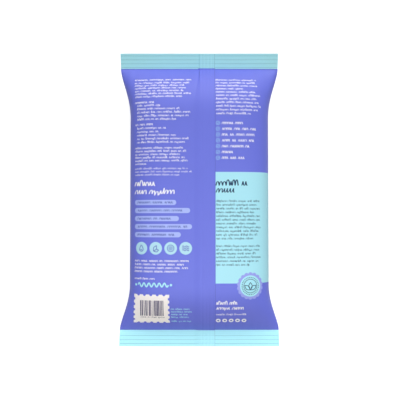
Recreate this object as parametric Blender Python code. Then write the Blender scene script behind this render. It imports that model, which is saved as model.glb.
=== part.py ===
"""Wet wipes pack: a flow-wrapped pillow pack with its resealable label.

The pack lies on its front face, with the back of the wrap upwards. The wrap is one
sheet of film folded round a stack of damp wipes. Its two long edges are sealed face to
face into a fin that is laid over to the right, and both ends are crimped flat. The
origin is on the surface that the pack lies on, under its middle. The pack's length
runs along Y and its thickness along Z. All sizes are in metres.
"""

from math import cos, pi, radians, sin, tan

import bmesh
import bpy
import numpy as np

# The pack as a whole
PACK_LENGTH = 0.245
PACK_THICKNESS = 0.0355
FLAT_WIDTH = 0.1331

# The film, closed up: the two walls welded together, and how far the stack's weight
# flattens the face that the pack lies on
SEAL_THICKNESS = 0.0006
PRESSED_DEPTH = 0.0004

# The crimped end seals: how deep they are, their grooves, and how they curl upwards
SEAL_DEPTH = 0.0127
RIB_COUNT = 4
RIB_PITCH = 0.0031
RIB_DEPTH = 0.0002
SEAL_CURL = radians(17.0)

# The pillow ends: how long the wrap takes to open from a seal to its full section, how
# much sooner it opens than in a straight line, and how square that section is beside the
# seal and in the body
TOP_SHOULDER = 0.043
BOTTOM_SHOULDER = 0.039
SHOULDER_POWER = 2.3
SECTION_POWER_AT_SEAL = 3.0
SECTION_POWER_IN_BODY = 5.0

# The fin seal down the middle of the back, laid over to the right
FIN_WIDTH = 0.0132
FIN_THICKNESS = 0.0003
FIN_GAP = 0.0003
FIN_ROOT_BEFORE = 0.005
FIN_ROOT_AFTER = 0.0015
FIN_FOLD_PLACE = 0.002
FIN_WELD_NOTCH = 0.0004
FIN_WELD_RUN = 0.006

# The resealable label on the face that the pack lies on, with its lift tab
LABEL_LENGTH = 0.108
LABEL_WIDTH = 0.062
LABEL_THICKNESS = 0.0003
LABEL_CORNER = 0.012
LABEL_TAB_WIDTH = 0.036
LABEL_TAB_REACH = 0.010
GLUE_GAP = 0.0003

# How finely the surfaces are divided
SIDE_STEPS = 12
SIDE_BUNCHING = 1.6
FIN_TOP_STEPS = 4
FIN_SLIT_STEPS = 2
FIN_ROOT_STEPS = 4
RIB_STEPS = 4
SHOULDER_STEPS = 16
BODY_STEPS = 3
ARC_SAMPLES = 400
WIDTH_HALVINGS = 40
CORNER_STEPS = 8
TAB_STEPS = 12

# Finishes: colours as linear values, the satin of the film and the smoother label
FILM_COLOUR = (0.184, 0.216, 0.753, 1.0)
FILM_ROUGHNESS = 0.42
LABEL_COLOUR = (0.413, 0.783, 0.939, 1.0)
LABEL_ROUGHNESS = 0.38
SHARP_EDGE = radians(40.0)


def smooth_step(t):
    """Rise from 0 to 1 with level ends, held outside that range."""
    t = np.clip(t, 0.0, 1.0)
    return t * t * (3.0 - 2.0 * t)


def quarter_curve(half_width, half_height, power):
    """A quarter of the section, from the middle of its top to its side.

    The height is half_height * sqrt(1 - (x / half_width) ** power), a level middle
    with a round side. Returns x, z and the length of film up to each point.
    """
    angle = np.linspace(0.0, pi / 2.0, ARC_SAMPLES)
    x = half_width * np.sin(angle) ** (2.0 / power)
    z = half_height * np.cos(angle)
    steps = np.hypot(np.diff(x), np.diff(z))
    return x, z, np.concatenate(([0.0], np.cumsum(steps)))


def half_width_of_film(half_height, power):
    """The half width at which a quarter of the section takes half the flat width."""
    narrow = FLAT_WIDTH / 4.0
    wide = FLAT_WIDTH / 2.0
    for _ in range(WIDTH_HALVINGS):
        middle = (narrow + wide) / 2.0
        if quarter_curve(middle, half_height, power)[2][-1] > FLAT_WIDTH / 2.0:
            wide = middle
        else:
            narrow = middle
    return (narrow + wide) / 2.0


def station_places():
    """Y of every section from the bottom cut end to the top one."""
    seal = [SEAL_DEPTH]
    seal += [RIB_PITCH * step / RIB_STEPS for step in range(RIB_COUNT * RIB_STEPS, -1, -1)]
    opening = [step / SHOULDER_STEPS for step in range(1, SHOULDER_STEPS + 1)]
    seal_edge = PACK_LENGTH / 2.0 - SEAL_DEPTH
    bottom = [-seal_edge - outwards for outwards in seal]
    bottom += [-seal_edge + BOTTOM_SHOULDER * share for share in opening]
    top = [seal_edge + outwards for outwards in reversed(seal)]
    top = [seal_edge - TOP_SHOULDER * share for share in reversed(opening)] + top
    gap = (top[0] - bottom[-1]) / BODY_STEPS
    return bottom + [bottom[-1] + gap * step for step in range(1, BODY_STEPS)] + top


def shoulder_share(y):
    """How far y is along the shoulder, from 0 at a seal's inner edge to 1 in the body."""
    seal_edge = PACK_LENGTH / 2.0 - SEAL_DEPTH
    shoulder = TOP_SHOULDER if y > 0.0 else BOTTOM_SHOULDER
    return min(1.0, max(0.0, (seal_edge - abs(y)) / shoulder))


def seal_lift(y):
    """How far an end seal stands off its own plane: its curl less its grooves."""
    outwards = max(0.0, abs(y) - (PACK_LENGTH / 2.0 - SEAL_DEPTH))
    groove = 0.0
    if outwards < RIB_COUNT * RIB_PITCH:
        groove = RIB_DEPTH * (1.0 - cos(2.0 * pi * outwards / RIB_PITCH)) / 2.0
    return tan(SEAL_CURL) * outwards - groove


def back_outline(slit_end):
    """Places along the back, left to right, as film lengths from the middle and lifts.

    The left panel runs up on to the fin, the fin's top runs to its free edge, the slit
    below it runs back to the fold, and the right panel comes out from under it.
    """
    half = FLAT_WIDTH / 2.0
    steps = np.linspace(0.0, 1.0, SIDE_STEPS + 1)
    side = 1.0 - (1.0 - steps) ** SIDE_BUNCHING
    fin_top = FIN_GAP + FIN_THICKNESS
    left = -(FIN_ROOT_BEFORE + (half - FIN_ROOT_BEFORE) * side)[::-1]
    outline = [(place, 0.0) for place in left]
    for step in range(1, FIN_ROOT_STEPS + 1):
        share = step / FIN_ROOT_STEPS
        place = -FIN_ROOT_BEFORE + (FIN_ROOT_BEFORE + FIN_ROOT_AFTER) * share
        outline.append((place, fin_top * float(smooth_step(share))))
    for step in range(1, FIN_TOP_STEPS + 1):
        share = step / FIN_TOP_STEPS
        outline.append((FIN_ROOT_AFTER + (FIN_WIDTH - FIN_ROOT_AFTER) * share, fin_top))
    for step in range(FIN_SLIT_STEPS + 1):
        share = step / FIN_SLIT_STEPS
        outline.append((FIN_WIDTH + (slit_end - FIN_WIDTH) * share, FIN_GAP))
    for step in range(FIN_SLIT_STEPS + 1):
        share = step / FIN_SLIT_STEPS
        outline.append((slit_end + (FIN_WIDTH - slit_end) * share, 0.0))
    outline += [(place, 0.0) for place in (FIN_WIDTH + (half - FIN_WIDTH) * side)[1:]]
    return np.array(outline)


def film_section(y):
    """The closed outline of the pack at y: over the back to the right, then under the front."""
    share = shoulder_share(y)
    opened = 1.0 - (1.0 - share) ** SHOULDER_POWER
    half_height = (PACK_THICKNESS - SEAL_THICKNESS) / 2.0 * opened
    spread = SECTION_POWER_IN_BODY - SECTION_POWER_AT_SEAL
    power = SECTION_POWER_AT_SEAL + spread * float(smooth_step(share))
    half_width = half_width_of_film(half_height, power)
    curve_x, curve_z, length = quarter_curve(half_width, half_height, power)

    from_edge = PACK_LENGTH / 2.0 - SEAL_DEPTH - abs(y)
    weld_end = FIN_WIDTH - FIN_WELD_NOTCH
    free = float(smooth_step(from_edge / FIN_WELD_RUN))
    back = back_outline(weld_end + (FIN_FOLD_PLACE - weld_end) * free)
    back_x = np.sign(back[:, 0]) * np.interp(np.abs(back[:, 0]), length, curve_x)
    back_z = np.interp(np.abs(back[:, 0]), length, curve_z) + SEAL_THICKNESS / 2.0 + back[:, 1]

    steps = np.linspace(0.0, 1.0, SIDE_STEPS + 1)
    side = FLAT_WIDTH / 2.0 * (1.0 - (1.0 - steps) ** SIDE_BUNCHING)
    front = np.concatenate((side[::-1], -side[1:]))
    front_x = np.sign(front) * np.interp(np.abs(front), length, curve_x)
    front_z = -np.interp(np.abs(front), length, curve_z) - SEAL_THICKNESS / 2.0
    front_z = np.maximum(front_z, PRESSED_DEPTH - PACK_THICKNESS / 2.0)

    middle = LABEL_THICKNESS + GLUE_GAP + PACK_THICKNESS / 2.0 - PRESSED_DEPTH
    x = np.concatenate((back_x, front_x))
    z = np.concatenate((back_z, front_z)) + middle + seal_lift(y)
    return np.column_stack((x, np.full(len(x), y), z))


def material(name, colour, roughness):
    """A Principled BSDF for printed film."""
    made = bpy.data.materials.new(name)
    made.use_nodes = True
    shader = made.node_tree.nodes["Principled BSDF"]
    shader.inputs["Base Color"].default_value = colour
    shader.inputs["Roughness"].default_value = roughness
    shader.inputs["Metallic"].default_value = 0.0
    made.diffuse_color = colour
    return made


def add_object(name, mesh, finish):
    """Put a finished mesh into the scene under its own name."""
    mesh.materials.append(finish)
    piece = bpy.data.objects.new(name, mesh)
    bpy.context.scene.collection.objects.link(piece)
    return piece


def film_pack(finish):
    """The sealed pack: sections joined one to the next, closed at both cut ends."""
    sections = [film_section(y) for y in station_places()]
    mesh = bpy.data.meshes.new("film_pack")
    shell = bmesh.new()
    rings = [[shell.verts.new(point) for point in section] for section in sections]
    count = len(rings[0])
    for ring, following in zip(rings, rings[1:]):
        for index in range(count):
            after = (index + 1) % count
            shell.faces.new((ring[index], ring[after], following[after], following[index]))
    shell.faces.new(rings[0])
    shell.faces.new(list(reversed(rings[-1])))
    bmesh.ops.recalc_face_normals(shell, faces=shell.faces)
    shell.to_mesh(mesh)
    shell.free()
    mesh.shade_smooth()
    mesh.set_sharp_from_angle(angle=SHARP_EDGE)
    return add_object("film_pack", mesh, finish)


def label_outline():
    """The label seen from above: a rectangle with round corners and a swelling tab.

    Each corner is a quarter circle. The tab stands off the bottom edge by
    LABEL_TAB_REACH * (1 + cos(2 * pi * x / LABEL_TAB_WIDTH)) / 2.
    """
    outline = []
    across = LABEL_WIDTH / 2.0 - LABEL_CORNER
    along = LABEL_LENGTH / 2.0 - LABEL_CORNER
    corners = ((across, -along, -90.0), (across, along, 0.0),
               (-across, along, 90.0), (-across, -along, 180.0))
    for centre_x, centre_y, start in corners:
        for step in range(CORNER_STEPS + 1):
            angle = radians(start + 90.0 * step / CORNER_STEPS)
            x = centre_x + LABEL_CORNER * cos(angle)
            y = centre_y + LABEL_CORNER * sin(angle)
            outline.append((x, y))
    for step in range(TAB_STEPS + 1):
        x = LABEL_TAB_WIDTH * (step / TAB_STEPS - 0.5)
        reach = LABEL_TAB_REACH * (1.0 + cos(2.0 * pi * x / LABEL_TAB_WIDTH)) / 2.0
        outline.append((x, -LABEL_LENGTH / 2.0 - reach))
    return outline


def reseal_label(finish):
    """The label: its outline filled and given the thickness of the film sticker."""
    mesh = bpy.data.meshes.new("reseal_label")
    plate = bmesh.new()
    rim = [plate.verts.new((x, y, 0.0)) for x, y in label_outline()]
    face = plate.faces.new(rim)
    raised = bmesh.ops.extrude_face_region(plate, geom=[face])
    top = [item for item in raised["geom"] if isinstance(item, bmesh.types.BMVert)]
    bmesh.ops.translate(plate, verts=top, vec=(0.0, 0.0, LABEL_THICKNESS))
    bmesh.ops.recalc_face_normals(plate, faces=plate.faces)
    plate.to_mesh(mesh)
    plate.free()
    return add_object("reseal_label", mesh, finish)


for leftover in list(bpy.data.objects):
    bpy.data.objects.remove(leftover, do_unlink=True)

film_pack(material("printed_film", FILM_COLOUR, FILM_ROUGHNESS))
reseal_label(material("label_film", LABEL_COLOUR, LABEL_ROUGHNESS))
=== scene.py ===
from math import cos, pi, radians, sin, tan
from types import SimpleNamespace

import bmesh
import bpy
import numpy as np
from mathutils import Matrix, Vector


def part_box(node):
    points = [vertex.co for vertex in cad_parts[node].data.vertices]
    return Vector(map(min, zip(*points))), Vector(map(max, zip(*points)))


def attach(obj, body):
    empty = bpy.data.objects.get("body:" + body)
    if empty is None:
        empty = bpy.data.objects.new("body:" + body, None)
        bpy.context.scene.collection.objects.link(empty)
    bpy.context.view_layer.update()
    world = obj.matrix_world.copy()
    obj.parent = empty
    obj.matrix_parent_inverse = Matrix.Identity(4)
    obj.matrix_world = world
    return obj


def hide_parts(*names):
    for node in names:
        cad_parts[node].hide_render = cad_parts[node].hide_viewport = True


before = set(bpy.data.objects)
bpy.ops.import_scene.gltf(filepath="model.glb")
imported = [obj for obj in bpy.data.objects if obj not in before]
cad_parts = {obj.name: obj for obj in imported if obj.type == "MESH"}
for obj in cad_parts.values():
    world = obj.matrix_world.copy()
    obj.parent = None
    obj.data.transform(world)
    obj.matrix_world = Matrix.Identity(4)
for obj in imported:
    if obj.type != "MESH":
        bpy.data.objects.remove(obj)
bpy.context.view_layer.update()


# The wrap.
# One sheet of film laminate, gravure printed on the outside, folded round the damp wipes.
# Its ends are crimped flat between ribbed jaws, and its long edges are welded face to
# face into the fin that lies over the middle of the back.
low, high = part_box("film_pack")
PACK_LENGTH = high[1] - low[1]
FLAT_WIDTH = high[0] - low[0]
PACK_THICKNESS = 0.0355
PRESSED_DEPTH = 0.0004
SEAL_DEPTH = 0.0127
SEAL_THICKNESS = 0.0006
SEAL_CURL = radians(17.0)
RIB_COUNT = 4
RIB_PITCH = 0.0031
RIB_DEPTH = 0.00012
RIB_HALF_WIDTH = 0.0003
TOP_SHOULDER = 0.043
BOTTOM_SHOULDER = 0.039
SHOULDER_POWER = 2.3
HALVINGS = 40
POWER_AT_SEAL = 3.0
POWER_IN_BODY = 5.0
FIN_WIDTH = 0.0132
FIN_GAP = 0.0003
FIN_THICKNESS = 0.0003
FIN_ROOT_BEFORE = 0.005
FIN_ROOT_AFTER = 0.0015
FIN_ROOT_SHARP = 0.0003
FIN_ROOT_RUN = 0.034
FIN_FOLD_PLACE = 0.002
FIN_WELD_NOTCH = 0.0004
FIN_WELD_RUN = 0.006
FIN_CRIMP_COUNT = 4
FIN_CRIMP_PITCH = 0.0029
FIN_CRIMP_DEPTH = 0.00010
FIN_CRIMP_HALF_WIDTH = 0.00035
FIN_EDGE_SLACK = 0.000001
GATHER_LENGTH = 0.006
GATHER_HEIGHT = 0.00016
GATHER_WAVES = ((0.0173, 0.7, 0.5), (0.0109, 2.1, 0.35), (0.0067, 4.0, 0.25))
FOLD_START = 0.006
FOLD_SLOPE = 0.10
FOLD_WIDTH = 0.0032
FOLD_HEIGHT = 0.00010
FOLD_LENGTH = 0.040
FOLD_ROOT = 0.006
VIOLET_INK = "6b75dd"
AQUA_INK = "a9e4f4"
# The end seals' aqua is a lighter copy of the panel's aqua: painted light, so that the seals read as
# brightly lit.
SEAL_AQUA_WITH_PAINTED_LIGHT = "acecf8"
PANEL_BOTTOM = 0.0457
PANEL_TOP = 0.1362
PANEL_OVER_FRONT = 0.009
AQUA_START = 0.0006
AQUA_START_ON_FIN = 0.0011
AQUA_STEP_BEFORE = 0.0012
FILM_MIDDLE = low[2] + PACK_THICKNESS / 2.0 - PRESSED_DEPTH
SEAL_EDGE = PACK_LENGTH / 2.0 - SEAL_DEPTH


def smooth_step(t):
    """Rise from 0 to 1 with level ends, held outside that range."""
    t = np.clip(t, 0.0, 1.0)
    return t * t * (3.0 - 2.0 * t)


def section_curves(y, samples=300):
    """A quarter of the pack's section at each y, from the middle of its top to its side.

    Its height is b * sqrt(1 - (x / a) ** power). The half height b opens from the seal to
    the body as 1 - (1 - t) ** 2.3 and the power grows with it. The half width a is found
    by halving, so that the curve is as long as half the flat width. Returns x, z, length.
    """
    shoulder = np.where(y > 0.0, TOP_SHOULDER, BOTTOM_SHOULDER)
    share = np.clip((SEAL_EDGE - np.abs(y)) / shoulder, 0.0, 1.0)
    opened = 1.0 - (1.0 - share) ** SHOULDER_POWER
    b = ((PACK_THICKNESS - SEAL_THICKNESS) / 2.0 * opened)[:, None]
    power = (POWER_AT_SEAL + (POWER_IN_BODY - POWER_AT_SEAL) * smooth_step(share))[:, None]
    angle = np.linspace(0.0, pi / 2.0, samples)[None, :]
    unit_x = np.sin(angle) ** (2.0 / power)
    z = b * np.cos(angle)
    narrow = np.full(b.shape, FLAT_WIDTH / 4.0)
    wide = np.full(b.shape, FLAT_WIDTH / 2.0)
    for _ in range(HALVINGS):
        a = (narrow + wide) / 2.0
        steps = np.hypot(np.diff(a * unit_x, axis=1), np.diff(z, axis=1))
        long = steps.sum(axis=1, keepdims=True) > FLAT_WIDTH / 2.0
        wide = np.where(long, a, wide)
        narrow = np.where(long, narrow, a)
    length = np.concatenate((np.zeros(b.shape), np.cumsum(steps, axis=1)), axis=1)
    return a * unit_x, z, length


def seal_lift(y):
    """How far an end seal stands off its own plane: its curl less its narrow grooves.

    Each groove is a bell, the depth times exp(-(d / half width) squared).
    """
    outwards = np.maximum(0.0, np.abs(y) - SEAL_EDGE)
    groove = 0.0
    for count in range(RIB_COUNT):
        from_groove = outwards - (count + 0.5) * RIB_PITCH
        groove = groove + np.exp(-(from_groove / RIB_HALF_WIDTH) ** 2)
    return tan(SEAL_CURL) * outwards - RIB_DEPTH * groove


def back_surface(y, across):
    """The back of the pack at every y and film place across, without the fin.

    Each place keeps its length of film from the middle line, so it is read off the
    section's curve by length.
    """
    x, z, length = section_curves(y)
    places = np.abs(across)
    grid_x = np.array([np.interp(places, one, two) for one, two in zip(length, x)])
    grid_z = np.array([np.interp(places, one, two) for one, two in zip(length, z)])
    grid_y = np.repeat(y[:, None], len(across), axis=1)
    lift = SEAL_THICKNESS / 2.0 + seal_lift(y)[:, None]
    return np.stack((np.sign(across) * grid_x, grid_y, grid_z + lift), axis=2)


def pulls_in_film(y, across):
    """How far the film stands off the smooth pack, in metres.

    Short gathers fan out of each seal: a sum of three cosines across the pack that
    grows and dies along it as d * exp(1 - d), d being the distance in gather lengths.
    A soft fold runs in from each corner: a bell across it that fades along it.
    """
    from_seal = np.maximum(0.0, SEAL_EDGE - np.abs(y))[:, None]
    end = np.sign(y)[:, None]
    d = from_seal / GATHER_LENGTH
    waves = 0.0
    for pitch, phase, share in GATHER_WAVES:
        waves = waves + share * np.cos(2.0 * pi * across[None, :] / pitch + phase * end)
    gathers = GATHER_HEIGHT * d * np.exp(1.0 - d) * waves
    inward = FLAT_WIDTH / 2.0 - np.abs(across)[None, :] - FOLD_START - FOLD_SLOPE * from_seal
    fold = FOLD_HEIGHT * np.exp(-(inward / FOLD_WIDTH) ** 2)
    fold = fold * smooth_step(from_seal / FOLD_ROOT) * (1.0 - smooth_step(from_seal / FOLD_LENGTH))
    return gathers + fold


def fin_height(across, y):
    """How high the top of the fin is over the film: it rises smoothly at its root.

    The root is sharp beside the top seal and widens over the shoulder. Four shallow
    grooves run along the fin, each a bell across it.
    """
    widened = np.where(y > 0.0, smooth_step((SEAL_EDGE - y) / FIN_ROOT_RUN), 1.0)
    before = FIN_ROOT_SHARP + (FIN_ROOT_BEFORE - FIN_ROOT_SHARP) * widened
    after = FIN_ROOT_SHARP + (FIN_ROOT_AFTER - FIN_ROOT_SHARP) * widened
    height = (FIN_GAP + FIN_THICKNESS) * smooth_step((across + before) / (before + after))
    for count in range(FIN_CRIMP_COUNT):
        centre = FIN_WIDTH / 2.0 + (count - (FIN_CRIMP_COUNT - 1) / 2.0) * FIN_CRIMP_PITCH
        height = height - FIN_CRIMP_DEPTH * np.exp(-((across - centre) / FIN_CRIMP_HALF_WIDTH) ** 2)
    return np.where(across > FIN_WIDTH + FIN_EDGE_SLACK, 0.0, height)


LINE_SAMPLES = 1201
line_y = np.linspace(-PACK_LENGTH / 2.0, PACK_LENGTH / 2.0, LINE_SAMPLES)
line_z = back_surface(line_y, np.array([0.0]))[:, 0, 2]
line_length = np.concatenate(([0.0], np.cumsum(np.hypot(np.diff(line_y), np.diff(line_z)))))
line_length -= np.interp(-SEAL_EDGE, line_y, line_length)
FILM_BETWEEN_SEALS = float(np.interp(SEAL_EDGE, line_y, line_length))


def y_of_film(along):
    """Y of a place given by its film length up the middle from the bottom seal."""
    return np.interp(along, line_length, line_y)


def spaced(start, end, step):
    """Even places from start to end, about a step apart, without the last one."""
    return np.linspace(start, end, max(2, int(round(abs(end - start) / step)) + 1))[:-1]


SEAL_STEP = 0.0002
SHOULDER_STEP = 0.0008
BODY_STEP = 0.0014
PANEL_STEP = 0.0010
ROOT_STEP = 0.00025
FIN_STEP = 0.0004
FRONT_COLUMNS = 44
SLIT_STEPS = 6
half = FLAT_WIDTH / 2.0
rows = np.concatenate((
    spaced(-PACK_LENGTH / 2.0, -SEAL_EDGE, SEAL_STEP),
    y_of_film(spaced(0.0, PANEL_BOTTOM, SHOULDER_STEP)),
    y_of_film(spaced(PANEL_BOTTOM, PANEL_TOP, BODY_STEP)),
    y_of_film(spaced(PANEL_TOP, FILM_BETWEEN_SEALS, SHOULDER_STEP)),
    spaced(SEAL_EDGE, PACK_LENGTH / 2.0, SEAL_STEP),
    [PACK_LENGTH / 2.0]))
row_lengths = np.interp(rows, line_y, line_length)
left_panel = np.append(spaced(-half, -FIN_ROOT_BEFORE, PANEL_STEP), -FIN_ROOT_BEFORE)
fin_root = np.append(spaced(-FIN_ROOT_BEFORE, FIN_ROOT_AFTER, ROOT_STEP), FIN_ROOT_AFTER)[1:]
fin_top = np.append(spaced(FIN_ROOT_AFTER, FIN_WIDTH, FIN_STEP), FIN_WIDTH)[1:]
right_panel = np.append(spaced(FIN_WIDTH, half, PANEL_STEP), half)
panel_across = np.concatenate((left_panel, fin_root, fin_top[:-1], right_panel))


def normals_of(grid):
    """The unit normal at each point of a grid, upwards on the back."""
    along = np.gradient(grid, axis=0)
    across = np.gradient(grid, axis=1)
    normal = np.cross(across, along)
    return normal / np.maximum(np.linalg.norm(normal, axis=2, keepdims=True), 1e-12)


smooth_back = back_surface(rows, panel_across)
panel_normals = normals_of(smooth_back)
panel_points = smooth_back + panel_normals * pulls_in_film(rows, panel_across)[:, :, None]
panel_points[:, :, 2] += FILM_MIDDLE


def on_film(across, along):
    """Points and normals on the back of the film, read between the film's own points."""
    y = y_of_film(along)
    row = np.clip(np.searchsorted(rows, y) - 1, 0, len(rows) - 2)
    column = np.clip(np.searchsorted(panel_across, across) - 1, 0, len(panel_across) - 2)
    down = ((y - rows[row]) / (rows[row + 1] - rows[row]))[..., None]
    over = (across - panel_across[column]) / (panel_across[column + 1] - panel_across[column])
    over = over[..., None]
    both = []
    for grid in (panel_points, panel_normals):
        near = grid[row, column] * (1.0 - over) + grid[row, column + 1] * over
        far = grid[row + 1, column] * (1.0 - over) + grid[row + 1, column + 1] * over
        both.append(near * (1.0 - down) + far * down)
    return both


def lifted(places, lift):
    """The film's back at some places across, stood off along its normal by a lift."""
    points, normals = on_film(np.repeat(places[None, :], len(rows), axis=0),
                              np.repeat(row_lengths[:, None], len(places), axis=1))
    return points + normals * lift[..., None]


on_rows = rows[:, None]
free = smooth_step((SEAL_EDGE - np.abs(on_rows)) / FIN_WELD_RUN)
slit_end = FIN_WIDTH - FIN_WELD_NOTCH + (FIN_FOLD_PLACE - FIN_WIDTH + FIN_WELD_NOTCH) * free
slit_across = FIN_WIDTH + (slit_end - FIN_WIDTH) * np.linspace(0.0, 1.0, SLIT_STEPS)[None, :]
slit_points, slit_normals = on_film(slit_across, np.repeat(row_lengths[:, None], SLIT_STEPS, axis=1))
slit_roof = slit_points + slit_normals * FIN_GAP
slit_floor = slit_points[:, ::-1]
back_ring = np.concatenate((
    lifted(left_panel, on_rows * 0.0),
    lifted(fin_root, fin_height(fin_root[None, :], on_rows)),
    lifted(fin_top, fin_height(fin_top[None, :], on_rows)),
    slit_roof,
    slit_floor,
    lifted(right_panel[1:], on_rows * 0.0)), axis=1)

front_across = np.linspace(half, -half, FRONT_COLUMNS)
smooth_front = back_surface(rows, front_across)
smooth_front -= pulls_in_film(rows, front_across)[:, :, None] * normals_of(smooth_front)
smooth_front[:, :, 2] -= seal_lift(rows)[:, None]
smooth_front[:, :, 2] = np.maximum(-smooth_front[:, :, 2], PRESSED_DEPTH - PACK_THICKNESS / 2.0)
smooth_front[:, :, 2] += FILM_MIDDLE + seal_lift(rows)[:, None]
film_ring = np.concatenate((back_ring, smooth_front), axis=1)

ring_count = film_ring.shape[1]
row_index = np.arange(len(rows) - 1)[:, None] * ring_count
ring_index = np.arange(ring_count)[None, :]
after_index = (ring_index + 1) % ring_count
film_faces = np.stack((row_index + ring_index, row_index + after_index,
                       row_index + ring_count + after_index,
                       row_index + ring_count + ring_index), axis=2).reshape(-1, 4)


SHARP_FOLD = radians(50.0)


def build_mesh(name, points, faces):
    """A smooth-shaded mesh object at the origin from points and faces."""
    mesh = bpy.data.meshes.new(name)
    mesh.from_pydata(points, [], faces)
    mesh.update()
    mesh.shade_smooth()
    mesh.set_sharp_from_angle(angle=SHARP_FOLD)
    made = bpy.data.objects.new(name, mesh)
    bpy.context.scene.collection.objects.link(made)
    return made


def linear(code):
    """An sRGB hex colour as linear red, green, blue and alpha."""
    channels = np.array([int(code[start:start + 2], 16) / 255.0 for start in (0, 2, 4)])
    low_part = channels / 12.92
    high_part = ((channels + 0.055) / 1.055) ** 2.4
    return tuple(float(c) for c in np.where(channels <= 0.04045, low_part, high_part)) + (1.0,)


def add_node(tree, kind, settings, links):
    """Add a node, set its inputs by name or number and its properties, and link inputs."""
    node = tree.nodes.new(kind)
    for name, value in settings.items():
        if isinstance(name, int) or name in node.inputs:
            node.inputs[name].default_value = value
        else:
            setattr(node, name, value)
    for name, socket in links.items():
        tree.links.new(socket, node.inputs[name])
    return node


CLOUD_SIZE = 0.012
CRINKLE_SIZE = 0.0025
CRINKLE_HEIGHT = 0.00006
CRINKLE_STRENGTH = 0.35
SHEEN_SPREAD = 0.05
FILM_IOR = 1.5
LACQUER_SHINE = 0.3
EVEN_INK = 0.02


def printed_film(name, ink, roughness=0.50, mottle=0.04):
    """Gravure ink under a matt lacquer on polyethylene film.

    The ink lies a little unevenly, in clouds about 12 mm across, and the film under it
    is faintly crinkled at 2.5 mm, so its dull sheen breaks up softly.
    """
    made = bpy.data.materials.new(name)
    made.use_nodes = True
    tree = made.node_tree
    shader = tree.nodes["Principled BSDF"]
    place = add_node(tree, "ShaderNodeTexCoord", {}, {}).outputs["Object"]
    clouds = add_node(tree, "ShaderNodeTexNoise", {"Scale": 1.0 / CLOUD_SIZE, "Detail": 2.0},
                      {"Vector": place})
    crinkle = add_node(tree, "ShaderNodeTexNoise", {"Scale": 1.0 / CRINKLE_SIZE, "Detail": 3.0},
                       {"Vector": place})
    full = np.array(linear(ink))
    colour = add_node(tree, "ShaderNodeMix", {"data_type": "RGBA"}, {"Factor": clouds.outputs["Fac"]})
    colour.inputs[6].default_value = tuple(full * (1.0 + mottle / 2.0))
    colour.inputs[7].default_value = tuple(full * (1.0 - mottle / 2.0))
    sheen = add_node(tree, "ShaderNodeMapRange",
                     {"To Min": roughness - SHEEN_SPREAD, "To Max": roughness + SHEEN_SPREAD},
                     {"Value": crinkle.outputs["Fac"]})
    bump = add_node(tree, "ShaderNodeBump", {"Strength": CRINKLE_STRENGTH, "Distance": CRINKLE_HEIGHT},
                    {"Height": crinkle.outputs["Fac"]})
    tree.links.new(colour.outputs[2], shader.inputs["Base Color"])
    tree.links.new(sheen.outputs["Result"], shader.inputs["Roughness"])
    tree.links.new(bump.outputs["Normal"], shader.inputs["Normal"])
    shader.inputs["IOR"].default_value = FILM_IOR
    shader.inputs["Specular IOR Level"].default_value = LACQUER_SHINE
    return made


VIOLET_SLOT = 0
AQUA_SLOT = 1
SEAL_SLOT = 2
bottom_cap = tuple(range(ring_count - 1, -1, -1))
top_cap = tuple(range((len(rows) - 1) * ring_count, len(rows) * ring_count))
film_wrap = build_mesh("film_wrap", film_ring.reshape(-1, 3),
                       film_faces.tolist() + [bottom_cap, top_cap])
film_wrap.data.materials.append(printed_film("violet_ink_on_film", VIOLET_INK))
film_wrap.data.materials.append(printed_film("aqua_ink_on_film", AQUA_INK, mottle=EVEN_INK))
# The end seals take the lighter aqua, which is painted light.
film_wrap.data.materials.append(printed_film("aqua_ink_with_painted_light_on_seals", SEAL_AQUA_WITH_PAINTED_LIGHT, mottle=EVEN_INK))

row_middle = ((row_lengths[:-1] + row_lengths[1:]) / 2.0)[:, None]
ring_across = np.concatenate((left_panel, fin_root, fin_top, np.full(2 * SLIT_STEPS, FIN_WIDTH / 2.0),
                              right_panel[1:], front_across))[None, :]
columns = np.arange(ring_count)[None, :]
right_start = len(left_panel) + len(fin_root) + len(fin_top) + 2 * SLIT_STEPS - 1
on_front = columns >= back_ring.shape[1]
on_fin = (ring_across > -AQUA_STEP_BEFORE) & (columns < right_start)
aqua_from = FILM_BETWEEN_SEALS + np.where(on_fin, AQUA_START_ON_FIN, AQUA_START)
in_seal = (row_middle < 0.0) | (row_middle > aqua_from)
on_right = (columns >= right_start) & ~on_front
over_side = on_front & (ring_across > half - PANEL_OVER_FRONT)
in_panel = (row_middle > PANEL_BOTTOM) & (row_middle < PANEL_TOP) & (on_right | over_side)
slots = np.where(in_seal, SEAL_SLOT, np.where(in_panel, AQUA_SLOT, VIOLET_SLOT)).ravel()
slots = np.append(slots, [SEAL_SLOT, SEAL_SLOT]).astype(np.int32)
film_wrap.data.polygons.foreach_set("material_index", slots)
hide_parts("film_pack")
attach(film_wrap, "root")


# The painted shade lines.
# Thin darker inks are painted where shade falls: in the grooves that the jaws press into
# the end seals, as the shadow along the fin's free edge, and in the crease at the fin's root.
INK_LIFT = 0.00006
# Both inks are painted shade: a darker aqua for the seal grooves and the fin's edge in the seals, and a
# darker violet for the fin edge's shadow and the root crease.
GROOVE_SHADE_INK = "92ccda"
FIN_SHADE_INK = "5d66c2"
RIB_LINE_WIDTH = 0.0004
FIN_LINE_WIDTH = 0.00035
CREASE_LENGTH = 0.020
CREASE_WIDTH = 0.0006
CREASE_PLACE = 0.0001
LINE_INSET = 0.0004
EDGE_INSET = 0.00005
FAINT_RIBS_AT_BOTTOM = 1
MERGE_DISTANCE = 0.000004
TIP_SHARE = 0.02


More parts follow.
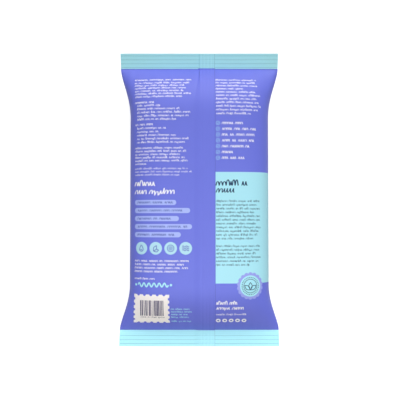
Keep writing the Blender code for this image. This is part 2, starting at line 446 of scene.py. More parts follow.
def lay_print(name, grids, lift, finish):
    """Put flat grids of (across, along) places on the film as one layer of ink.

    Each grid's places are read on the film and lifted along its normal, with the fin's
    height where they lie on it. Quads that come out turned over are turned back, and
    points that meet are merged.
    """
    points = []
    faces = []
    start = 0
    for grid in grids:
        count_i, count_j = grid.shape[:2]
        index = start + np.arange(count_i * count_j).reshape(count_i, count_j)
        quads = np.stack((index[:-1, :-1], index[1:, :-1], index[1:, 1:], index[:-1, 1:]), axis=2)
        one = grid[1:, 1:] - grid[:-1, :-1]
        two = grid[:-1, 1:] - grid[1:, :-1]
        turned = one[..., 0] * two[..., 1] - one[..., 1] * two[..., 0] < 0.0
        quads[turned] = quads[turned][:, ::-1]
        faces.append(quads.reshape(-1, 4))
        points.append(grid.reshape(-1, 2))
        start += count_i * count_j
    across, along = np.concatenate(points).T
    on, normals = on_film(across, along)
    stand_off = lift + np.maximum(0.0, fin_height(across, y_of_film(along)))
    made = build_mesh(name, on + normals * stand_off[:, None], np.concatenate(faces).tolist())
    shell = bmesh.new()
    shell.from_mesh(made.data)
    bmesh.ops.remove_doubles(shell, verts=shell.verts, dist=MERGE_DISTANCE)
    bmesh.ops.dissolve_degenerate(shell, edges=shell.edges, dist=MERGE_DISTANCE)
    shell.to_mesh(made.data)
    shell.free()
    made.data.materials.append(finish)
    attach(made, "root")
    return made


def patch(left, bottom, right, top, step=0.0015):
    """A rectangle of film as an even grid."""
    across = np.linspace(left, right, max(2, int((right - left) / step) + 1))
    along = np.linspace(bottom, top, max(2, int((top - bottom) / step) + 1))
    return np.stack(np.meshgrid(across, along, indexing="ij"), axis=2)


def taper(place, start, end, width, step=0.0008):
    """A line along the pack whose width falls evenly to next to nothing at its end."""
    along = np.linspace(start, end, int(abs(end - start) / step) + 1)
    side = width / 2.0 * np.linspace(1.0, TIP_SHARE, len(along))
    return np.stack((np.stack((place - side, along), axis=1),
                     np.stack((place + side, along), axis=1)), axis=1)


# Painted shade: a dark aqua line in the grooves of the end seals, and a painted shadow down the fin's free
# edge across both seals.
seal_shade_lines = []
line_end = half - LINE_INSET
fin_edge = FIN_WIDTH - EDGE_INSET
for count in range(RIB_COUNT):
    from_body = (count + 0.5) * RIB_PITCH / cos(SEAL_CURL)
    centres = [FILM_BETWEEN_SEALS + from_body]
    if count >= FAINT_RIBS_AT_BOTTOM:
        centres.append(-from_body)
    for centre in centres:
        bottom = centre - RIB_LINE_WIDTH / 2.0
        top = centre + RIB_LINE_WIDTH / 2.0
        seal_shade_lines.append(patch(-line_end, bottom, fin_edge, top, ROOT_STEP))
        seal_shade_lines.append(patch(FIN_WIDTH + EDGE_INSET, bottom, line_end, top))
seal_length = SEAL_DEPTH / cos(SEAL_CURL) - EDGE_INSET
line_start = fin_edge - FIN_LINE_WIDTH
violet_end = FILM_BETWEEN_SEALS + AQUA_START_ON_FIN
for start, end in ((-seal_length, 0.0), (violet_end, FILM_BETWEEN_SEALS + seal_length)):
    seal_shade_lines.append(patch(line_start, start, fin_edge, end, SHOULDER_STEP))
lay_print("seal_shade_lines", seal_shade_lines, INK_LIFT, printed_film("painted_shade_on_aqua_film", GROOVE_SHADE_INK))
# A painted shadow along the fin's free edge between the seals, and painted shade in the crease at the fin's
# root below the top seal.
fin_shade_lines = [patch(line_start, 0.0, fin_edge, violet_end, SHOULDER_STEP),
             taper(CREASE_PLACE, FILM_BETWEEN_SEALS, FILM_BETWEEN_SEALS - CREASE_LENGTH, CREASE_WIDTH)]
lay_print("fin_shade_lines", fin_shade_lines, INK_LIFT, printed_film("painted_shade_on_violet_film", FIN_SHADE_INK))


# The label.
# A die-cut film sticker with round corners and a lift tab, glued over the opening in the
# face that the pack lies on. It is aqua, with a violet line printed inside its edge.
LABEL_LENGTH = 0.108
LABEL_CORNER = 0.012
LABEL_LINE_INSET = 0.0035
LABEL_LINE_WIDTH = 0.0010
LABEL_ROUGHNESS = 0.42
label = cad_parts["reseal_label"]
label_low, label_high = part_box("reseal_label")


def bordered_film(name, ink, line_ink):
    """Printed film with a line inside a rectangle with round corners.

    The distance outside such a rectangle is |max(|p| - core, 0)| less the corner's
    radius, core being the half sizes less that radius.
    """
    made = printed_film(name, ink, roughness=LABEL_ROUGHNESS)
    tree = made.node_tree
    shader = tree.nodes["Principled BSDF"]
    place = add_node(tree, "ShaderNodeTexCoord", {}, {}).outputs["Object"]
    flat = add_node(tree, "ShaderNodeVectorMath", {"operation": "MULTIPLY", 1: (1.0, 1.0, 0.0)}, {0: place})
    mirrored = add_node(tree, "ShaderNodeVectorMath", {"operation": "ABSOLUTE"}, {0: flat.outputs[0]})
    core = ((label_high[0] - label_low[0]) / 2.0 - LABEL_CORNER, LABEL_LENGTH / 2.0 - LABEL_CORNER, 0.0)
    past = add_node(tree, "ShaderNodeVectorMath", {"operation": "SUBTRACT", 1: core},
                    {0: mirrored.outputs[0]})
    outer = add_node(tree, "ShaderNodeVectorMath", {"operation": "MAXIMUM", 1: (0.0, 0.0, 0.0)},
                     {0: past.outputs[0]})
    reach = add_node(tree, "ShaderNodeVectorMath", {"operation": "LENGTH"}, {0: outer.outputs[0]})
    middle = LABEL_CORNER - LABEL_LINE_INSET
    line = add_node(tree, "ShaderNodeMath", {"operation": "COMPARE", 1: middle, 2: LABEL_LINE_WIDTH / 2.0},
                    {0: reach.outputs["Value"]})
    printed = add_node(tree, "ShaderNodeMix", {"data_type": "RGBA"},
                       {"Factor": line.outputs[0], 6: shader.inputs["Base Color"].links[0].from_socket})
    printed.inputs[7].default_value = linear(line_ink)
    tree.links.new(printed.outputs[2], shader.inputs["Base Color"])
    return made


label.data.materials.clear()
label.data.materials.append(bordered_film("aqua_label_film", AQUA_INK, VIOLET_INK))


# The small white print.
# Lines of small type are drawn as a pen's arches, one for each letter, so that they read
# as type from a step away and spell nothing close to. They are white ink on the film.
WHITE_INK = "f2f2fa"
PEN_STEP = 0.00018
FEWEST_STEPS = 10
TALL_LETTER = 1.42
TAIL = 0.34
LETTER_WIDTHS = (0.8, 1.25)
ROUND_LETTERS = 0.65
ROUND_SWING = 0.12
POINTED_SWING = -0.11
WORD_LETTERS = (2, 9)
WORD_GAP = 1.1
LEAST_ROOM = 1.5
LEFT_MARGIN = -0.0542
RIGHT_MARGIN = 0.0136
INDENTED = LEFT_MARGIN + 0.0020


def pen(x_height, nib, spread=0.92, slope=0.0, tall=0.22, tails=0.10, turn=0.38):
    """A way of writing: its x-height, its nib's width and its letters' pitch in x-heights.

    The slope leans it, tall and tails are the shares of letters that rise or drop, and
    turn is the angle that the nib is held at.
    """
    return SimpleNamespace(x_height=x_height, nib=nib, pitch=x_height * spread, slope=slope,
                           tall=tall, tails=tails, turn=turn)


PLAIN = pen(0.00130, 0.00037)
THIN = pen(0.00110, 0.00024)
BOLD_CAPITALS = pen(0.00155, 0.00046, tall=0.0, tails=0.0)
CAPITALS = pen(0.00152, 0.00044, tall=0.0, tails=0.0)

# Each row gives where a paragraph's lines start, its first line's place along the film,
# its leading, a seed, its pen and its lines' lengths.
WHITE_PARAGRAPHS = (
    (LEFT_MARGIN, 0.2157, 0.0027, 10, BOLD_CAPITALS, (0.0479,)),
    (LEFT_MARGIN, 0.2123, 0.0027, 11, PLAIN, (0.0466, 0.0416, 0.0456, 0.0414, 0.0490, 0.0426)),
    (LEFT_MARGIN, 0.1938, 0.0029, 20, BOLD_CAPITALS, (0.0198,)),
    (INDENTED, 0.1911, 0.0029, 21, PLAIN, (0.0206, 0.0388, 0.0453, 0.0435, 0.0335)),
    (LEFT_MARGIN, 0.1753, 0.0029, 30, BOLD_CAPITALS, (0.0196,)),
    (INDENTED, 0.1722, 0.0029, 31, PLAIN, (0.0260, 0.0218, 0.0330, 0.0455, 0.0427)),
    (LEFT_MARGIN, 0.1558, 0.0026, 40, PLAIN, (0.0430, 0.0435, 0.0404, 0.0426, 0.0442, 0.0123)),
    (LEFT_MARGIN, 0.1390, 0.0026, 50, THIN, (0.0455, 0.0487, 0.0404)),
    (LEFT_MARGIN, 0.0638, 0.00285, 60, CAPITALS, (0.0472, 0.0416, 0.0451, 0.0366)),
    (LEFT_MARGIN, 0.0493, 0.0029, 70, PLAIN, (0.0185,)),
    (RIGHT_MARGIN, 0.2153, 0.00313, 80, PLAIN, (0.0341, 0.0335, 0.0367, 0.0247, 0.0333, 0.0370,
                                                0.0340, 0.0383, 0.0377, 0.0356, 0.0290)),
    (RIGHT_MARGIN, 0.0187, 0.0029, 90, PLAIN, (0.0260,)))


def pen_word(start, base, letters, draw, face):
    """One word: an arch a letter, drawn with a broad nib held at a slant.

    Along each letter s goes from 0 to 1. The pen goes forward by w * (s - q * sin(2 pi s)),
    the swing q making the arch round or pointed, and up from one foot to the next by
    h * (1 - cos(2 pi s)) / 2, h being the x-height or that of a tall letter.
    """
    heights = np.where(draw.random(letters) < face.tall, TALL_LETTER, 1.0) * face.x_height
    widths = face.pitch * draw.uniform(*LETTER_WIDTHS, letters)
    swings = np.where(draw.random(letters) < ROUND_LETTERS, ROUND_SWING, POINTED_SWING)
    feet = np.where(draw.random(letters + 1) < face.tails, -TAIL * face.x_height, 0.0)
    feet[0] = 0.0
    feet[-1] = 0.0
    samples = max(FEWEST_STEPS, int(face.x_height / PEN_STEP))
    s = np.linspace(0.0, 1.0, samples + 1)[:-1][None, :]
    edges = np.concatenate(([0.0], np.cumsum(widths)))
    across = edges[:-1, None] + widths[:, None] * (s - swings[:, None] * np.sin(2.0 * pi * s))
    up = feet[:-1, None] + (feet[1:] - feet[:-1])[:, None] * smooth_step(s)
    up = up + heights[:, None] * (1.0 - np.cos(2.0 * pi * s)) / 2.0
    across = np.append(across.ravel(), edges[-1])
    up = np.append(up.ravel(), 0.0)
    centre = np.stack((start + across + face.slope * up, base + up), axis=1)
    slant = face.nib / 2.0 * np.array([cos(face.turn), sin(face.turn)])
    return np.stack((centre - slant, centre + slant), axis=1), edges[-1]


def pen_line(start, along, length, seed, face):
    """A line of words whose letters' middles lie at a film length along the pack."""
    draw = np.random.default_rng(seed)
    base = along - face.x_height / 2.0
    words = []
    place = 0.0
    while length - place > LEAST_ROOM * face.pitch:
        letters = int(min(draw.integers(*WORD_LETTERS), max(1, (length - place) / face.pitch)))
        word, width = pen_word(start + place, base, letters, draw, face)
        words.append(word)
        place += width + face.pitch * WORD_GAP
    return words


def paragraphs(table):
    """The words of each paragraph in a table: lines below each other, of given lengths."""
    words = []
    for start, first, leading, seed, face, lengths in table:
        for count, length in enumerate(lengths):
            words += pen_line(start, first - leading * count, length, seed + count, face)
    return words


white_film = printed_film("white_ink_on_film", WHITE_INK, mottle=EVEN_INK)
lay_print("small_white_print", paragraphs(WHITE_PARAGRAPHS), INK_LIFT, white_film)


# The white headings.
# They are the same pen's arches at nearly three times the size, upright and sloping.
# The bold lines of the ticked list go with them.
ITALIC_SLOPE = 0.22
FLAT_NIB = 0.2
UPRIGHT = pen(0.0034, 0.00098, spread=0.72, turn=FLAT_NIB)
SLOPING = pen(0.0034, 0.00090, spread=0.68, slope=ITALIC_SLOPE, turn=FLAT_NIB)
SMALL_UPRIGHT = pen(0.0024, 0.00068, spread=0.74, tails=0.0, turn=FLAT_NIB)
SMALL_SLOPING = pen(0.0024, 0.00068, spread=0.74, slope=ITALIC_SLOPE, tall=0.1, turn=FLAT_NIB)
LISTED = pen(0.00200, 0.00052, spread=0.80, tall=0.0, tails=0.0)
HEADINGS = (
    (LEFT_MARGIN, 0.1265, 0.0069, 100, UPRIGHT, (0.0203,)),
    (LEFT_MARGIN, 0.1199, 0.0069, 101, SLOPING, (0.0329,)),
    (RIGHT_MARGIN, 0.0293, 0.0042, 103, SMALL_UPRIGHT, (0.0186,)),
    (RIGHT_MARGIN, 0.0248, 0.0042, 104, SMALL_SLOPING, (0.0228,)))
LIST_PITCH = 0.00475
LIST_FIRST = 0.1762
LIST_START = RIGHT_MARGIN + 0.0048
LIST_LENGTHS = (0.0177, 0.0308, 0.0270, 0.0284, 0.0255, 0.0123, 0.0185)
TICKED_LIST = ((LIST_START, LIST_FIRST, LIST_PITCH, 110, LISTED, LIST_LENGTHS),)
lay_print("white_headings", paragraphs(HEADINGS + TICKED_LIST), INK_LIFT, white_film)


# The tick marks.
# Small rings with a tick in them, in aqua, one before each line of the list.
TICK_RADIUS = 0.0016
TICK_NIB = 0.00025
TICK_SHAPE = ((-0.0008, 0.0001), (-0.0002, -0.0006), (0.0009, 0.0008))


def ring(centre, outer, inner, steps=28):
    """A flat ring: circles from the inner to the outer radius about a centre."""
    angle = np.linspace(0.0, 2.0 * pi, steps + 1)[None, :]
    radius = np.array([inner, outer])[:, None]
    return np.stack((centre[0] + radius * np.cos(angle), centre[1] + radius * np.sin(angle)), axis=2)


def stroke(path, nib):
    """A line of even width along a path of points."""
    step = np.gradient(path, axis=0)
    step /= np.linalg.norm(step, axis=1, keepdims=True)
    side = np.stack((-step[:, 1], step[:, 0]), axis=1) * nib / 2.0
    return np.stack((path - side, path + side), axis=1)


def tick(centre, steps=12):
    """A tick: two straight strokes about a centre."""
    corners = np.array(TICK_SHAPE)
    t = np.linspace(0.0, 2.0, steps + 1)
    path = np.stack([np.interp(t, (0.0, 1.0, 2.0), corners[:, axis]) for axis in (0, 1)], axis=1)
    return stroke(path + np.array(centre), TICK_NIB)


aqua_print = printed_film("aqua_print_on_film", AQUA_INK, mottle=EVEN_INK)
tick_marks = []
for count in range(len(LIST_LENGTHS)):
    centre = (RIGHT_MARGIN + TICK_RADIUS, LIST_FIRST - LIST_PITCH * count)
    tick_marks += [ring(centre, TICK_RADIUS, TICK_RADIUS - TICK_NIB), tick(centre)]
lay_print("tick_marks", tick_marks, INK_LIFT, aqua_print)


# The pills.
# Five pale rounded bars below the heading, each with a line of small type printed on it
# in violet.
PILL_INK = "a7b7f6"
PILL_TYPE_INK = "4d58b2"
PILL_HEIGHT = 0.0042
PILL_PITCH = 0.00655
PILL_FIRST = 0.1092
PILL_MARGIN = 0.0028
PILL_LENGTHS = (0.0355, 0.0468, 0.0377, 0.0483, 0.0393)
PILL_CAPITALS = pen(0.00170, 0.00050, tall=0.0, tails=0.0)
PILL_SEED = 130


def capsule(start, bottom, length, height, end_steps=9, up_steps=5, step=0.0015, tip=0.04):
    """A bar with half-round ends: columns across it, a few points up each.

    Its half height is sqrt(r * r - d * d), d being how far a place is past the centre
    of the round end, and r half the height. It starts at a small angle, the tip, where
    its column is short and not a point.
    """
    r = height / 2.0
    turn = np.linspace(tip, pi / 2.0, end_steps)
    straight = np.linspace(r, length - r, max(3, int(length / step)))[1:-1]
    across = np.concatenate((r - r * np.cos(turn), straight, (length - r + r * np.cos(turn))[::-1]))
    tall = np.concatenate((r * np.sin(turn), np.full(len(straight), r), r * np.sin(turn)[::-1]))
    up = np.linspace(-1.0, 1.0, up_steps)[None, :] * tall[:, None]
    wide = np.repeat(across[:, None], up_steps, axis=1)
    return np.stack((start + wide, bottom + r + up), axis=2)


pills = []
pill_words = []
for count, length in enumerate(PILL_LENGTHS):
    bottom = PILL_FIRST - PILL_PITCH * count
    pills.append(capsule(LEFT_MARGIN, bottom, length, PILL_HEIGHT))
    pill_words += pen_line(LEFT_MARGIN + PILL_MARGIN, bottom + PILL_HEIGHT / 2.0,
                           length - 2.0 * PILL_MARGIN, PILL_SEED + count, PILL_CAPITALS)
lay_print("pale_pills", pills, INK_LIFT, printed_film("pale_violet_ink_on_film", PILL_INK))
lay_print("pill_print", pill_words, INK_LIFT * 2.0, printed_film("violet_type_on_film", PILL_TYPE_INK))


# The round marks.
# Four aqua discs in a row, each with a plain motif drawn in violet line: a drop, two
# leaves, a ring and waves.
MARK_RADIUS = 0.00515
MARK_PITCH = 0.0122
MARK_FIRST = -0.0476
MARK_ALONG = 0.0741
MARK_NIB = 0.00050
MARK_DISC_INK = "b0dcee"
MARK_INK = "4f5abc"
DROP_RADIUS = 0.0017
DROP_LOW = 0.0008
DROP_POINT = 0.9
DROP_POINT_TURN = 0.38
DROP_WAVE_LOW = 0.0012
DROP_WAVE_LENGTH = 0.0018
DROP_WAVE_HEIGHT = 0.0005
LEAF_ROOTS_LOW = 0.0024
MARK_LEAVES = ((-0.0018, 62.0, 0.0052, 0.0024), (-0.0014, 14.0, 0.0040, 0.0020))
RING_RADII = (0.0029, 0.0014)
RING_DOT = 0.0004
WAVES_PITCH = 0.0015
WAVES_LENGTH = 0.0056
WAVES_HEIGHT = 0.0009


def disc(centre, radius, rings=4, steps=40, edge=None):
    """A disc of rings about a centre, its rim at radius, or at an edge(angle) given."""
    angle = np.linspace(0.0, 2.0 * pi, steps + 1)[None, :]
    rim = radius if edge is None else edge(angle)
    out = np.linspace(0.0, 1.0, rings + 1)[:, None] * rim
    return np.stack((centre[0] + out * np.cos(angle), centre[1] + out * np.sin(angle)), axis=2)


def leaf_line(root, turn, length, width, nib, steps=32):
    """A leaf drawn in line from its root, turned from the axis across the pack.

    Round the leaf the angle a goes from 0 to a full turn: the place along its rib is
    length * (1 - cos(a)) / 2 and the place off it is width / 2 * sin(a) cubed.
    """
    a = np.linspace(0.0, 2.0 * pi, steps + 1)
    along = length * (1.0 - np.cos(a)) / 2.0
    side = width / 2.0 * np.sin(a) ** 3
    path = np.stack((root[0] + along * cos(turn) - side * sin(turn),
                     root[1] + along * sin(turn) + side * cos(turn)), axis=1)
    return stroke(path[1:-1], nib)


def wave(start, along, length, height, nib, turns, steps=12):
    """A stroke of even width along a sine."""
    t = np.linspace(0.0, 1.0, steps * turns + 1)
    up = along + height / 2.0 * np.sin(2.0 * pi * turns * t)
    return stroke(np.stack((start + length * t, up), axis=1), nib)


def drop_line(centre, radius, nib, steps=40):
    """A drop drawn in line: a circle drawn up to a point by a bell about its top."""
    a = np.linspace(0.0, 2.0 * pi, steps + 1)
    from_top = np.mod(a, 2.0 * pi) - pi / 2.0
    r = radius * (1.0 + DROP_POINT * np.exp(-(from_top / DROP_POINT_TURN) ** 2))
    return stroke(np.stack((centre[0] + r * np.cos(a), centre[1] + r * np.sin(a)), axis=1), nib)


mark_centres = [(MARK_FIRST + MARK_PITCH * count, MARK_ALONG) for count in range(4)]
lay_print("pale_marks", [disc(centre, MARK_RADIUS) for centre in mark_centres], INK_LIFT,
          printed_film("pale_aqua_ink_on_film", MARK_DISC_INK))
one, two, three, four = mark_centres
motifs = [drop_line((one[0], one[1] - DROP_LOW), DROP_RADIUS, MARK_NIB),
          wave(one[0] - DROP_WAVE_LENGTH / 2.0, one[1] - DROP_WAVE_LOW, DROP_WAVE_LENGTH,
               DROP_WAVE_HEIGHT, MARK_NIB, 1)]
for across, turn, length, width in MARK_LEAVES:
    motifs.append(leaf_line((two[0] + across, two[1] - LEAF_ROOTS_LOW), radians(turn), length, width,
                            MARK_NIB))
motifs += [ring(three, radius, radius - MARK_NIB) for radius in RING_RADII]
motifs.append(ring(three, RING_DOT, 0.0))
motifs += [wave(four[0] - WAVES_LENGTH / 2.0, four[1] + count * WAVES_PITCH, WAVES_LENGTH,
                WAVES_HEIGHT, MARK_NIB, 2) for count in (-1, 0, 1)]
lay_print("mark_motifs", motifs, INK_LIFT * 2.0, printed_film("violet_line_on_film", MARK_INK))


# The aqua ornament.
# A wavy rule between two dots, in aqua ink, over the stamp.
RULE_ALONG = 0.0444
RULE_START = -0.0505
RULE_LENGTH = 0.0255
RULE_HEIGHT = 0.0030
RULE_NIB = 0.0012
RULE_TURNS = 6
RULE_DOTS = (-0.0526, -0.0229)
RULE_DOT_RADIUS = 0.0010
rule_parts = [wave(RULE_START, RULE_ALONG, RULE_LENGTH, RULE_HEIGHT, RULE_NIB, RULE_TURNS)]
rule_parts += [disc((across, RULE_ALONG), RULE_DOT_RADIUS) for across in RULE_DOTS]
lay_print("aqua_rule", rule_parts, INK_LIFT, aqua_print)


# The stamp.
# A cream panel perforated like a postage stamp, with a block of dark bars of random
# widths and a row of small marks under them.
CREAM_INK = "f9f4f4"
BAR_INK = "45416a"
STAMP_WIDTH = 0.0302
STAMP_HEIGHT = 0.0270
STAMP_CENTRE = (-0.0394, 0.0231)
BITE_RADIUS = 0.0013
BITE_PITCH_ACROSS = 0.0054
BITE_PITCH_ALONG = 0.0049
BARS_LEFT = -0.0486
BARS_RIGHT = -0.0290
BARS_BOTTOM = 0.0173
BARS_TOP = 0.0316
BAR_WIDTHS = (0.0003, 0.0006, 0.0009)
BAR_GAPS = (0.0003, 0.0005, 0.0008)
BARS_SEED = 7
MARKS_ALONG = 0.0158
MARKS_LENGTH = 0.0200
MARKS_SEED = 150


def stamp_side(length, pitch, steps=90):
    """Places along a side from -length/2, and how far five round bites cut in."""
    s = np.linspace(-length / 2.0, length / 2.0, steps + 1)[:-1]
    depth = np.zeros(s.shape)
    for count in range(-2, 3):
        near = (s - count * pitch) / BITE_RADIUS
        depth = np.maximum(depth, BITE_RADIUS * np.sqrt(np.maximum(0.0, 1.0 - near * near)))
    return s, depth


def stamp_panel(rings=10):
    """The stamp: its bitten outline shrunk towards its middle in even rings."""
    s, depth = stamp_side(STAMP_WIDTH, BITE_PITCH_ACROSS)
    t, cut = stamp_side(STAMP_HEIGHT, BITE_PITCH_ALONG)
    wide = STAMP_WIDTH / 2.0
    tall = STAMP_HEIGHT / 2.0
    sides = [np.stack((s, -tall + depth), axis=1), np.stack((wide - cut, t), axis=1),
             np.stack((-s, tall - depth), axis=1), np.stack((-wide + cut, -t), axis=1)]
    outline = np.concatenate(sides + [sides[0][:1]])
    share = np.linspace(0.0, 1.0, rings + 1)[:, None, None]
    return share * outline[None, :, :] + np.array(STAMP_CENTRE)


draw = np.random.default_rng(BARS_SEED)
bars = []
place = BARS_LEFT
while place < BARS_RIGHT:
    width = draw.choice(BAR_WIDTHS)
    bars.append(patch(place, BARS_BOTTOM, place + width, BARS_TOP))
    place += width + draw.choice(BAR_GAPS)
bars += pen_line(BARS_LEFT, MARKS_ALONG, MARKS_LENGTH, MARKS_SEED, THIN)
lay_print("cream_stamp", [stamp_panel()], INK_LIFT, printed_film("cream_ink_on_film", CREAM_INK))
lay_print("dark_bars", bars, INK_LIFT * 2.0, printed_film("dark_ink_on_film", BAR_INK))


# The pale small print beside the stamp.
# Five lines of small type, in aqua.
PALE = pen(0.00120, 0.00036)
PALE_START = -0.0231
PALE_LINES = ((0.0240, 0.0150), (0.0214, 0.0172), (0.0188, 0.0148), (0.0159, 0.0136), (0.0114, 0.0172))
PALE_SEED = 160
pale_words = []
for count, (along, length) in enumerate(PALE_LINES):
    pale_words += pen_line(PALE_START, along, length, PALE_SEED + count, PALE)
lay_print("pale_print", pale_words, INK_LIFT, aqua_print)


# The panel's print.
# Navy type on the aqua panel: a heading of two lines and two paragraphs.
NAVY_INK = "1b3a5c"
NAVY = pen(0.00128, 0.00032)
NAVY_PARAGRAPHS = (
    (RIGHT_MARGIN, 0.1268, 0.0066, 170, UPRIGHT, (0.0281,)),
    (RIGHT_MARGIN, 0.1211, 0.0066, 171, SLOPING, (0.0157,)),
    (RIGHT_MARGIN, 0.1123, 0.00304, 175, NAVY, (0.0370, 0.0350, 0.0376, 0.0330, 0.0364, 0.0372,
                                                0.0345, 0.0378, 0.0360, 0.0340, 0.0310)),
    (RIGHT_MARGIN, 0.0758, 0.00303, 190, NAVY, (0.0366, 0.0374, 0.0340, 0.0370, 0.0352, 0.0280)))
lay_print("navy_print", paragraphs(NAVY_PARAGRAPHS), INK_LIFT, printed_film("navy_ink_on_film", NAVY_INK))


# The badge.
# A round seal with a scalloped lilac rim over an aqua disc, a ring of navy dashes and a
# sprig of three leaves in line. It overlaps the lower edge of the panel.
RIM_INK = "98a2ec"
BADGE_CENTRE = (0.0416, 0.0435)
BADGE_RADIUS = 0.0112
BADGE_SCALLOPS = 18
SCALLOP_DEPTH = 0.10
SCALLOP_POWER = 0.6
SCALLOP_STEPS = 8
BADGE_RINGS = 8
BADGE_INNER = 0.0086
BADGE_CIRCLE_OUTER = 0.0057
BADGE_CIRCLE_INNER = 0.0053
BADGE_CIRCLE_STEPS = 64
BADGE_DASHES = 30
BADGE_DASH_OUTER = 0.0073
BADGE_DASH_INNER = 0.0065
BADGE_DASH_WIDTH = 0.0006
SPRIG_LOW = 0.0032
SPRIG_TURNS = (38.0, 90.0, 142.0)
SPRIG_LENGTH = 0.0062
SPRIG_WIDTH = 0.0030
SPRIG_NIB = 0.00048


def scalloped(angle):
    """The rim's radius: a scallop's bulge is the root of a sine, so it meets in points."""
    bulge = np.abs(np.sin(BADGE_SCALLOPS * angle / 2.0)) ** SCALLOP_POWER
    return BADGE_RADIUS * (1.0 - SCALLOP_DEPTH + SCALLOP_DEPTH * bulge)


lay_print("badge_rim", [disc(BADGE_CENTRE, BADGE_RADIUS, BADGE_RINGS, BADGE_SCALLOPS * SCALLOP_STEPS,
                             scalloped)],
          INK_LIFT * 2.0, printed_film("lilac_ink_on_film", RIM_INK))
lay_print("badge_disc", [disc(BADGE_CENTRE, BADGE_INNER, BADGE_RINGS, BADGE_CIRCLE_STEPS)],
          INK_LIFT * 3.0, aqua_print)
badge_marks = [ring(BADGE_CENTRE, BADGE_CIRCLE_OUTER, BADGE_CIRCLE_INNER, BADGE_CIRCLE_STEPS)]
for count in range(BADGE_DASHES):
    turn = 2.0 * pi * count / BADGE_DASHES
    out = np.linspace(BADGE_DASH_INNER, BADGE_DASH_OUTER, 3)
    path = np.stack((BADGE_CENTRE[0] + out * cos(turn), BADGE_CENTRE[1] + out * sin(turn)), axis=1)
    badge_marks.append(stroke(path, BADGE_DASH_WIDTH))
for turn in SPRIG_TURNS:
    badge_marks.append(leaf_line((BADGE_CENTRE[0], BADGE_CENTRE[1] - SPRIG_LOW), radians(turn),
                                 SPRIG_LENGTH, SPRIG_WIDTH, SPRIG_NIB))
lay_print("badge_marks", badge_marks, INK_LIFT * 4.0, printed_film("badge_navy_on_film", NAVY_INK))


# The white dots.
# Five white discs in a row at the foot of the right column, each with a small violet
# lozenge in it.
DOT_COUNT = 5
DOT_FIRST = 0.0156
DOT_PITCH = 0.00532
DOT_RADIUS = 0.0020
DOTS_ALONG = 0.0123
LOZENGE_WIDTH = 0.0022
LOZENGE_HEIGHT = 0.0017
LOZENGE_POINT = 0.98


def lozenge(centre, width, height):
    """A lozenge: its half height falls evenly from its middle to a blunt point each side."""
    t = np.linspace(-1.0, 1.0, 9)[:, None]
    side = np.linspace(-1.0, 1.0, 3)[None, :] * height / 2.0 * (1.0 - np.abs(t) * LOZENGE_POINT)
    return np.stack((centre[0] + width / 2.0 * t + 0.0 * side, centre[1] + side), axis=2)


dot_centres = [(DOT_FIRST + DOT_PITCH * count, DOTS_ALONG) for count in range(DOT_COUNT)]
lay_print("white_dots", [disc(centre, DOT_RADIUS, rings=3, steps=32) for centre in dot_centres],
          INK_LIFT, white_film)
lay_print("dot_motifs", [lozenge(centre, LOZENGE_WIDTH, LOZENGE_HEIGHT) for centre in dot_centres],
          INK_LIFT * 2.0, printed_film("violet_dots_on_film", MARK_INK))


# The floor.
# A pale sheet that is white to the eye and in reflections, and keeps the pack's shadow.
FLOOR_GREY = 0.55
FLOOR_GLOW = 0.72
FLOOR_HALF = 3.0
FLOOR_LEVEL = -0.0001
FLOOR_ROUGHNESS = 0.9
floor_mesh = bpy.data.meshes.new("floor")
floor_corners = [(x * FLOOR_HALF, y * FLOOR_HALF, FLOOR_LEVEL)
                 for x, y in ((-1, -1), (1, -1), (1, 1), (-1, 1))]
floor_mesh.from_pydata(floor_corners, [], [(0, 1, 2, 3)])
floor = bpy.data.objects.new("floor", floor_mesh)
bpy.context.scene.collection.objects.link(floor)


def seen_rays(tree):
    """1 for what the camera, a reflection or a clear piece sees, and 0 for plain light."""
    ray = add_node(tree, "ShaderNodeLightPath", {}, {})
    mirrored = add_node(tree, "ShaderNodeMath", {"operation": "MAXIMUM"},
                        {0: ray.outputs["Is Glossy Ray"], 1: ray.outputs["Is Transmission Ray"]})
    seen = add_node(tree, "ShaderNodeMath", {"operation": "MAXIMUM"},
                    {0: ray.outputs["Is Camera Ray"], 1: mirrored.outputs[0]})
    return seen.outputs[0]


paper = bpy.data.materials.new("white_paper")
paper.use_nodes = True
tree = paper.node_tree
paper_shader = tree.nodes["Principled BSDF"]
paper_shader.inputs["Base Color"].default_value = (FLOOR_GREY, FLOOR_GREY, FLOOR_GREY, 1.0)
paper_shader.inputs["Roughness"].default_value = FLOOR_ROUGHNESS
glow = add_node(tree, "ShaderNodeEmission", {"Strength": FLOOR_GLOW}, {})
glow_seen = add_node(tree, "ShaderNodeMixShader", {}, {"Fac": seen_rays(tree), 2: glow.outputs["Emission"]})
both = add_node(tree, "ShaderNodeAddShader", {},
                {0: paper_shader.outputs["BSDF"], 1: glow_seen.outputs["Shader"]})
tree.links.new(both.outputs["Shader"], tree.nodes["Material Output"].inputs["Surface"])
floor_mesh.materials.append(paper)


# The light.
# A soft room, brightest beyond the pack's top end and dark at both sides, which draws its
# round sides. A broad lamp over the top end shades the relief, a weak warm one fills in
# from the bottom end, and a near one lights the middle.
ROOM_TOWARD = (0.25, 0.66, 0.70)
ROOM_LEVEL = 1.5
ROOM_FALL = 3.0
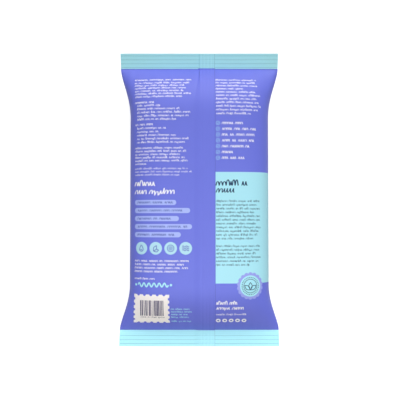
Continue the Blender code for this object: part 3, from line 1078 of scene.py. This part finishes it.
# Each lamp: its name, the way it lies, its distance, its width, its watts, its colour,
# and the point that it lies over and looks at.
LAMPS = (("key", (0.07, 0.86, 0.50), 1.3, 1.0, 10.8, "ffffff", (0.0, 0.0, 0.0)),
         ("fill", (0.20, -0.85, 0.50), 1.3, 1.0, 2.6, "fff2c8", (0.0, 0.0, 0.0)),
         ("near", (0.0, 0.0, 1.0), 0.45, 0.3, 0.94, "ffffff", (0.0, -0.15, 0.0)))
for name, toward, distance, size, watts, tint, over in LAMPS:
    lamp_data = bpy.data.lights.new(name, "AREA")
    lamp_data.shape = "DISK"
    lamp_data.size = size
    lamp_data.energy = watts
    lamp_data.color = linear(tint)[:3]
    lamp = bpy.data.objects.new(name, lamp_data)
    bpy.context.scene.collection.objects.link(lamp)
    aim = Vector(toward).normalized()
    lamp.location = aim * distance + Vector(over)
    lamp.rotation_euler = aim.to_track_quat("Z", "Y").to_euler()

world = bpy.data.worlds.new("room")
bpy.context.scene.world = world
world.use_nodes = True
sky = world.node_tree
background = sky.nodes["Background"]
background.inputs["Color"].default_value = (1.0, 1.0, 1.0, 1.0)
way = add_node(sky, "ShaderNodeTexCoord", {}, {}).outputs["Generated"]
room_aim = Vector(ROOM_TOWARD).normalized()
facing = add_node(sky, "ShaderNodeVectorMath", {"operation": "DOT_PRODUCT", 1: room_aim}, {0: way})
ahead = add_node(sky, "ShaderNodeMath", {"operation": "MAXIMUM", 1: 0.0}, {0: facing.outputs["Value"]})
lobe = add_node(sky, "ShaderNodeMath", {"operation": "POWER", 1: ROOM_FALL}, {0: ahead.outputs[0]})
parts = add_node(sky, "ShaderNodeSeparateXYZ", {}, {"Vector": way})
sideways = add_node(sky, "ShaderNodeMath", {"operation": "ABSOLUTE"}, {0: parts.outputs["X"]})
not_sideways = add_node(sky, "ShaderNodeMath", {"operation": "SUBTRACT", 0: 1.0}, {1: sideways.outputs[0]})
shaded = add_node(sky, "ShaderNodeMath", {"operation": "MULTIPLY"},
                  {0: lobe.outputs[0], 1: not_sideways.outputs[0]})
room = add_node(sky, "ShaderNodeMath", {"operation": "MULTIPLY", 1: ROOM_LEVEL}, {0: shaded.outputs[0]})
strength = add_node(sky, "ShaderNodeMix", {"data_type": "FLOAT", 3: 1.0},
                    {0: seen_rays(sky), 2: room.outputs[0]})
sky.links.new(strength.outputs[0], background.inputs["Strength"])


# The camera.
# It looks down on the pack from about half a metre, a little from the bottom end.
CAMERA_DISTANCE = 0.4691
CAMERA_TILT = radians(1.84)
CAMERA_AIM = (0.0006, -0.0010, FILM_MIDDLE)
LENS_LENGTH = 50.0
SENSOR_WIDTH = 36.0
camera_data = bpy.data.cameras.new("camera")
camera_data.lens = LENS_LENGTH
camera_data.sensor_width = SENSOR_WIDTH
camera = bpy.data.objects.new("camera", camera_data)
bpy.context.scene.collection.objects.link(camera)
camera.location = (CAMERA_AIM[0], CAMERA_AIM[1] - CAMERA_DISTANCE * sin(CAMERA_TILT),
                   CAMERA_AIM[2] + CAMERA_DISTANCE * cos(CAMERA_TILT))
camera.rotation_euler = (CAMERA_TILT, 0.0, 0.0)
bpy.context.scene.camera = camera
bpy.context.scene.view_settings.view_transform = "Standard"
